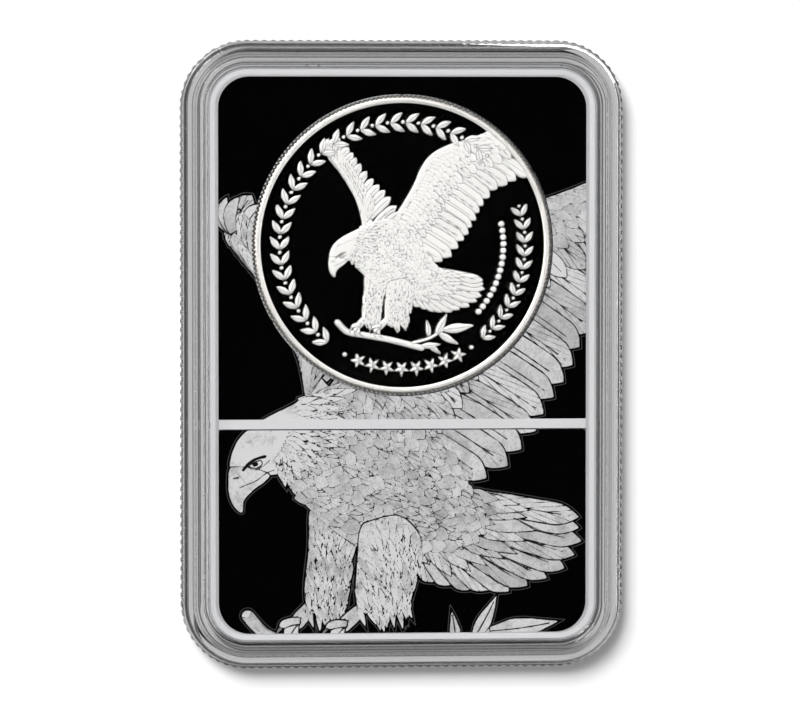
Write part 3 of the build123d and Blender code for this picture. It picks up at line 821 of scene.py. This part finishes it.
def ruled_paper(name, node):
    """White card with a fine frame and blank ruled lines 3.2 mm apart."""
    material, tree = new_material(name)
    low, high = box_of(node)
    half = (high - low) / 2
    across, upward = (arithmetic(tree, "ABSOLUTE", value) for value in place_from(tree, node))
    edge = arithmetic(tree, "MINIMUM", arithmetic(tree, "SUBTRACT", half[0] - 1.6, across),
                      arithmetic(tree, "SUBTRACT", half[1] - 1.6, upward))
    frame_line = smooth_step(tree, arithmetic(tree, "ABSOLUTE", edge), 0.12, 0.2, 1.0, 0.0)
    rule = arithmetic(tree, "ABSOLUTE", arithmetic(tree, "SUBTRACT", arithmetic(tree, "MODULO", upward, 3.2), 1.6))
    rule = arithmetic(tree, "MULTIPLY", smooth_step(tree, rule, 0.05, 0.11, 1.0, 0.0),
                      smooth_step(tree, edge, 1.5, 1.6, 0.0, 0.6))
    # Uncoated white card, laser printed
    coat(tree, mixed(tree, arithmetic(tree, "MAXIMUM", frame_line, rule), chosen("label"), chosen("rule")), 0.7)
    return material


def rainbow_foil(name, node):
    """Embossed foil: fine rings whose hue turns with the distance from the middle."""
    material, tree = new_material(name)
    away = away_from(tree, *place_from(tree, node))
    ring = arithmetic(tree, "MODULO", away, 0.7)
    ridge = smooth_step(tree, arithmetic(tree, "ABSOLUTE", arithmetic(tree, "SUBTRACT", ring, 0.35)), 0.1, 0.25)
    hue = arithmetic(tree, "FRACT", arithmetic(tree, "MULTIPLY", away, 0.19))
    tint = add_node(tree, "ShaderNodeCombineColor", {
        0: hue, 1: arithmetic(tree, "ADD", arithmetic(tree, "MULTIPLY", ridge, 0.16), 0.1), 2: 0.82}, mode="HSV")
    # Holographic polyester foil: aluminium coated, finely embossed, so colours shift in rings
    coat(tree, tint.outputs[0], 0.22, metallic=1.0)
    return material


class SLAB_OT_inserts(bpy.types.Operator):
    """Dresses the black inserts, the printed films, the label and its foil seal"""
    bl_idname = "slab.inserts"
    bl_label = "Inserts"

    def execute(self, context):
        # Black ABS, moulded in a finely etched tool: deep black with a soft sheen
        black = plain("black_abs", chosen("insert"), 0.35)
        for node in ("coin_core", "label_core"):
            recolour(node, black)
        # Black polyester film, calendered: glossier and blacker than the insert
        film = plain("black_film", chosen("film"), 0.07)
        for node in ("core_art_front", "label_art_front"):
            recolour(node, film)
        recolour("core_art_rear", ringed_film("ringed_film", "coin"))
        recolour("label_card_rear", ruled_paper("label_paper", "label_card_rear"))
        recolour("hologram_seal", rainbow_foil("hologram_foil", "hologram_seal"))
        # Polystyrene melted by ultrasound and frozen again: slightly cloudy
        recolour("weld_bead", clear_plastic("melted_polystyrene", linear(0xF0F2F6), 1.5, 0.3))
        low, high = box_of("coin")
        clearance = 0.1
        hole = (low + high) / 2, (high[0] - low[0]) / 2 + clearance
        material = printed_film("printed_art")
        for node, step, corners, opening in (("core_art_front", 0.12, (4.2, 0.4), hole),
                                             ("label_art_front", 0.125, (0.4, 4.2), None)):
            print_on(node, step, corners, opening, material)
        return {"FINISHED"}


# ---------------------------------------------------------------- coin

def ring_of(radius, start, end, count, part):
    """Calls part(place, heading) for count places along an arc, heading along it."""
    for number in range(count):
        turn = math.radians(start + (end - start) * number / (count - 1))
        place = radius * np.array((math.cos(turn), math.sin(turn)))
        part(place, math.degrees(turn) + (90 if end > start else -90))


def sprig(art, radius, start, end, count, size):
    """Laurel: leaves in pairs on both sides of an arc, with a berry between the pairs."""
    def pair(place, heading):
        for lean in (-38, 38):
            art.feather(place, heading + lean, size, size * 0.42, bend=-lean / 3, tip=0.6, point=1.6, root=0.3,
                        shaft=1.0, tone=0.9)
        berry = place + ahead(heading, size * 0.75)
        art.stroke([tuple(berry), tuple(berry + 0.01)], size * 0.2, tone=0.9)
    ring_of(radius, start, end, count, pair)


def dots(art, radius, start, end, count, size):
    """Row of round pellets along an arc."""
    ring_of(radius, start, end, count,
            lambda place, heading: art.stroke([tuple(place), tuple(place + 0.01)], size, tone=0.9))


def star(art, centre, size, heading):
    """Five-pointed star made of five pointed leaves."""
    for number in range(5):
        art.feather(centre, heading + 72 * number, size, size * 0.62, tip=0.95, point=1.0, root=0.9, tone=0.9)


def raptor_side(art):
    """Display side: the bird inside a ring of laurel, pellets and stars."""
    raptor(art)
    sprig(art, 16.55, 232, 52, 26, 2.1)
    ring_of(16.7, 249, 297, 8, lambda place, heading: star(art, place, 1.1, heading - 90))
    dots(art, 16.7, 242, 242.1, 2, 0.5)
    dots(art, 16.7, 304, 304.1, 2, 0.5)
    sprig(art, 16.6, 311, 374, 11, 1.75)
    dots(art, 13.7, 319, 372, 15, 0.75)


def wreath_side(art):
    """Rear side: a star in an open wreath with a ring of pellets."""
    for start, end in ((-80, 80), (260, 100)):
        sprig(art, 11.5, start, end, 12, 2.6)
    star(art, np.array((0.0, 0.0)), 6.0, 90)
    dots(art, 17.8, 0, 352.5, 48, 0.7)


def frosted_silver(name):
    """Frosted silver with its engraved lines painted darker, as painted shade in the grooves."""
    material, tree = new_material(name)
    # Fine silver struck from blasted dies: white, soft and without highlights
    # Painted shade: the engraved lines, whose distances come in as 'ink', are mixed toward black as if shade lay in the
    # grooves
    line = smooth_step(tree, attribute_value(tree, "ink"), 0.0, 0.1, 0.35, 1.0)
    coat(tree, mixed(tree, line, (0, 0, 0), chosen("silver")), 0.7, metallic=1.0)
    return material


def relief(name, picture, reach, field, middle, facing, material):
    """Raised picture on one face of the coin; its skirt runs below the field so the edge is sharp.

    Height = 0.13 (1 - (1 - r)^2) + 0.08 level - 0.04 line, where r rises from 0 to 1 over the first
    0.22 mm inside the outline."""
    across = np.arange(-reach, reach, 0.11)
    art = Drawing(across, across)
    picture(art)
    x, y = np.meshgrid(across, across)
    share = np.clip((art.inside + 0.03) / 0.22, -0.3, 1)
    rise = 0.13 * (1 - (1 - np.clip(share, 0, 1)) ** 2) + 0.1 * np.minimum(share, 0)
    level = rise + np.where(art.inside > 0, 0.08 * art.height, 0) - 0.04 * np.clip(1 - art.ink / 0.08, 0, 1)
    kept = (art.inside > -0.16) & (np.hypot(x, y) < reach)
    faces, used = kept_grid(kept)
    points = np.stack((x * facing, y + middle, facing * (field + np.clip(level, -0.03, 0.24))), -1)
    piece = new_piece(name, points.reshape(-1, 3)[used], [faces], material)
    # On the coin the 'ink' numbers are distances from the engraved lines, which the frosted silver darkens as painted
    # shade
    set_numbers(piece, ink=art.ink.ravel()[used])


class SLAB_OT_coin(bpy.types.Operator):
    """Makes the coin's reeded blank with mirror fields and the raised pictures on both sides"""
    bl_idname = "slab.coin"
    bl_label = "Coin"

    def execute(self, context):
        size = context.scene.coin_sizes
        low, high = box_of("coin")
        radius, half = (high[0] - low[0]) / 2, (high[2] - low[2]) / 2
        middle = (low[1] + high[1]) / 2
        rim, rise = size.rim_width / MM, size.rim_height / MM
        field = half - rise
        corners = [(0.0, -field), (radius - rim - 0.6, -field), (radius - rim - 0.12, -field),
                   (radius - rim, -half), (radius - 0.5, -half), (radius, -half + 0.3),
                   (radius, half - 0.3), (radius - 0.5, half), (radius - rim, half),
                   (radius - rim - 0.12, field), (radius - rim - 0.6, field), (0.0, field)]
        radii = [0.01, 0.08, 0.08, 0.12, 0.15, 0.15, 0.12, 0.08, 0.08, 0.01]
        profile = rounded_profile(corners, radii)[1:-1]
        reeds = round(2 * math.pi * radius / (size.reed_pitch / MM))
        marks = np.array((0.0, 0.2, 0.35, 0.65, 0.8))
        turn = ((np.arange(reeds)[:, None] + marks) / reeds * 2 * math.pi).ravel()
        groove = np.tile((0.0, 0.0, 1.0, 1.0, 0.0), reeds) * size.reed_depth / MM
        share = np.clip((profile[:, 0] - (radius - 0.4)) / 0.25, 0, 1)
        reach = profile[:, 0][:, None] - share[:, None] * groove
        points = np.stack((reach * np.cos(turn), reach * np.sin(turn) + middle,
                           np.broadcast_to(profile[:, 1][:, None], reach.shape)), -1)
        rows, columns = points.shape[:2]
        faces = quads(rows, columns, wrap_columns=True)
        first = np.arange(columns)[None, ::-1]
        last = (rows - 1) * columns + np.arange(columns)[None, :]
        # Proof silver, mirror-polished dies: fields like black glass, rim bright
        material = plain("proof_silver", linear(0xF4F2EE), 0.03, metallic=1.0)
        piece = new_piece("coin_blank", points, [faces, first, last], material)
        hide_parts("coin")
        # Rim and reeds: the same silver as struck, finely grained and bright
        piece.data.materials.append(plain("rim_silver", linear(0xFCFAF6), 0.45, metallic=1.0))
        piece.data.materials.append(plain("reeded_silver", linear(0xE4DFD8), 0.45, metallic=1.0))
        flat = profile[:, 0] < radius - rim - 0.13
        outer = np.maximum(profile[:-1, 0], profile[1:, 0])
        index = np.where(flat[:-1] & flat[1:], 0, np.where(outer > radius - 0.45, 2, 1))
        index = np.concatenate((np.repeat(index, columns), (0, 0))).astype(np.int32)
        piece.data.polygons.foreach_set("material_index", index)
        frosted = frosted_silver("frosted_silver")
        relief("coin_relief_front", raptor_side, radius - rim + 0.02, field, middle, 1, frosted)
        relief("coin_relief_rear", wreath_side, radius - rim + 0.02, field, middle, -1, frosted)
        return {"FINISHED"}


# ---------------------------------------------------------------- studio

def ramp(tree, value, stops):
    """Grey that a value gives through (place, grey) stops."""
    node = add_node(tree, "ShaderNodeValToRGB", {0: value})
    elements = node.color_ramp.elements
    while len(elements) < len(stops):
        elements.new(0.5)
    for element, (place, grey) in zip(elements, stops):
        element.position = place
        element.color = (grey, grey, grey, 1)
    return node.outputs[0]


class SLAB_OT_stage(bpy.types.Operator):
    """Makes the surroundings, the white sheet, the glowing card of painted light, the lamps and the camera"""
    bl_idname = "slab.stage"
    bl_label = "Studio"

    def execute(self, context):
        self.surroundings(context.scene)
        self.floor()
        self.card()
        self.lamps()
        self.camera(context.scene)
        return {"FINISHED"}

    def surroundings(self, scene):
        """Pale room: white to the camera, dark in front so that polished faces look deep."""
        world = bpy.data.worlds.new("studio_room")
        scene.world = world
        world.use_nodes = True
        tree = world.node_tree
        tree.nodes.clear()
        direction = add_node(tree, "ShaderNodeTexCoord").outputs["Generated"]
        split = add_node(tree, "ShaderNodeSeparateXYZ", {0: direction})
        facing = arithmetic(tree, "ABSOLUTE", split.outputs["Y"])
        through = ramp(tree, facing, [(0.0, 0.01), (0.35, 0.03), (0.7, 0.12), (0.9, 0.42), (0.97, 0.62)])
        mirrored = ramp(tree, facing, [(0.0, 0.14), (0.5, 0.12), (0.82, 0.04), (0.95, 0.0)])
        path = add_node(tree, "ShaderNodeLightPath")
        bounced = arithmetic(tree, "GREATER_THAN", path.outputs["Glossy Depth"], 0.5)
        room = mixed(tree, bounced, through, mirrored)
        seen = mixed(tree, path.outputs["Is Camera Ray"], room, (1, 1, 1))
        light = add_node(tree, "ShaderNodeBackground", {0: seen, 1: 1.0})
        add_node(tree, "ShaderNodeOutputWorld", {0: light.outputs[0]})

    def floor(self):
        """White sheet just behind the slab. It is see-through from its other side."""
        mesh = bpy.data.meshes.new("floor")
        side, level = 1.5, 0.0042
        mesh.from_pydata([(-side, level, -side), (side, level, -side), (side, level, side),
                          (-side, level, side)], [], [(0, 1, 2, 3)])
        material, tree = new_material("floor_paper")
        # Matt white paper
        paper = add_node(tree, "ShaderNodeBsdfPrincipled", {
            "Base Color": (*linear(0xCBCBCB), 1), "Roughness": 0.9})
        open_side = add_node(tree, "ShaderNodeBsdfTransparent")
        behind = add_node(tree, "ShaderNodeNewGeometry").outputs["Backfacing"]
        mix = add_node(tree, "ShaderNodeMixShader", {
            0: behind, 1: paper.outputs[0], 2: open_side.outputs[0]})
        finish_material(tree, mix.outputs[0])
        mesh.materials.append(material)
        sheet = bpy.data.objects.new("floor", mesh)
        sheet.visible_shadow = False
        sheet.visible_transmission = False
        sheet.visible_glossy = False
        bpy.context.collection.objects.link(sheet)

    def card(self):
        """Glowing card seen only through the clear frame: painted light for the lit sheet behind, with painted shadow
        that makes it darker under the foot and the top.
        """
        mesh = bpy.data.meshes.new("card")
        mesh.from_pydata([(-0.031, 0.007, -0.001), (0.031, 0.007, -0.001), (0.031, 0.007, 0.086),
                          (-0.031, 0.007, 0.086)], [], [(0, 1, 2, 3)])
        material, tree = new_material("card_light")
        place = add_node(tree, "ShaderNodeTexCoord").outputs["Object"]
        height = add_node(tree, "ShaderNodeSeparateXYZ", {0: place}).outputs["Z"]
        # Painted shadow: the card's light falls off toward the foot and the top, where the slab shades the sheet
        foot = smooth_step(tree, height, 0.0005, 0.005, 0.2, 0.62)
        top = smooth_step(tree, height, 0.081, 0.0845, 0.0, 0.3)
        painted_sheet_glow = add_node(tree, "ShaderNodeEmission", {
            "Strength": arithmetic(tree, "SUBTRACT", foot, top)})
        finish_material(tree, painted_sheet_glow.outputs[0])
        mesh.materials.append(material)
        card = bpy.data.objects.new("card", mesh)
        for ray in ("camera", "diffuse", "glossy", "shadow", "volume_scatter"):
            setattr(card, "visible_" + ray, False)
        bpy.context.collection.objects.link(card)

    def lamps(self):
        """Large soft panels well to the side, so that flat faces don't mirror them to the camera."""
        for name, place, size, power in (
                ("key_lamp", (-0.5, -0.5, 0.6), 0.5, 20.0),
                ("fill_lamp", (0.62, -0.5, 0.1), 0.6, 8.0),
                ("rear_lamp", (0.4, 0.7, 0.5), 0.6, 9.0),
                ("paper_lamp", (-0.26, -0.86, 0.37), 0.3, 17.0)):
            lamp = bpy.data.lights.new(name, "AREA")
            lamp.shape = "SQUARE"
            lamp.size = size
            lamp.energy = power
            holder = bpy.data.objects.new(name, lamp)
            holder.location = place
            holder.visible_transmission = False
            aim = np.array((0.0, 0.0, 0.0425)) - place
            yaw, pitch = math.atan2(aim[0], -aim[1]), math.atan2(math.hypot(aim[0], aim[1]), -aim[2])
            holder.rotation_euler = (pitch, 0, math.pi + yaw)
            bpy.context.collection.objects.link(holder)
            # The paper has its own lamp, nearly square to it, so that the shadow stays close to the slab
            lit = bpy.data.collections.new(name + "_receivers")
            lit.objects.link(bpy.data.objects["floor"])
            if name != "paper_lamp":
                lit.collection_objects[0].light_linking.link_state = "EXCLUDE"
            holder.light_linking.receiver_collection = lit

    def camera(self, scene):
        """Long lens, a little to the left and above, framed 108.5 mm wide at the slab."""
        camera = bpy.data.cameras.new("camera")
        camera.sensor_width = 36
        camera.lens = 200
        distance = 0.6028
        azimuth, elevation = math.radians(-4), math.radians(2.5)
        holder = bpy.data.objects.new("camera", camera)
        back = np.array((math.sin(azimuth) * math.cos(elevation),
                         -math.cos(azimuth) * math.cos(elevation), math.sin(elevation)))
        holder.location = np.array((0, 0, 0.0425)) + back * distance
        holder.rotation_euler = (math.pi / 2 - elevation, 0, azimuth)
        camera.shift_y = -1.3 / 800
        camera.shift_x = -1.6 / 800
        camera.clip_start = 0.01
        bpy.context.collection.objects.link(holder)
        scene.camera = holder
        scene.view_settings.view_transform = "Standard"
        scene.cycles.caustics_reflective = False
        scene.cycles.caustics_refractive = False
        scene.cycles.transmission_bounces = 24
        scene.cycles.max_bounces = 32
        scene.cycles.glossy_bounces = 12
        scene.cycles.transparent_max_bounces = 32


class SLAB_PT_panel(bpy.types.Panel):
    """Sidebar list of the pieces"""
    bl_idname = "SLAB_PT_panel"
    bl_label = "Coin Slab"
    bl_space_type = "VIEW_3D"
    bl_region_type = "UI"
    bl_category = "Coin Slab"

    def draw(self, context):
        for operator in OPERATORS:
            self.layout.operator(operator.bl_idname)


OPERATORS = (SLAB_OT_holder, SLAB_OT_inserts, SLAB_OT_coin, SLAB_OT_stage)
CLASSES = (SlabSizes, CoinSizes, SlabColours, *OPERATORS, SLAB_PT_panel)


def register():
    for cls in CLASSES:
        bpy.utils.register_class(cls)
    bpy.types.Scene.slab_sizes = bpy.props.PointerProperty(type=SlabSizes)
    bpy.types.Scene.coin_sizes = bpy.props.PointerProperty(type=CoinSizes)
    bpy.types.Scene.slab_colours = bpy.props.PointerProperty(type=SlabColours)


def unregister():
    del bpy.types.Scene.slab_colours
    del bpy.types.Scene.coin_sizes
    del bpy.types.Scene.slab_sizes
    for cls in reversed(CLASSES):
        bpy.utils.unregister_class(cls)


def main():
    """Registers the add-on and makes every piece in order."""
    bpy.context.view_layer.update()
    register()
    bpy.ops.slab.holder()
    bpy.ops.slab.inserts()
    bpy.ops.slab.coin()
    bpy.ops.slab.stage()


if __name__ == "__main__":
    main()
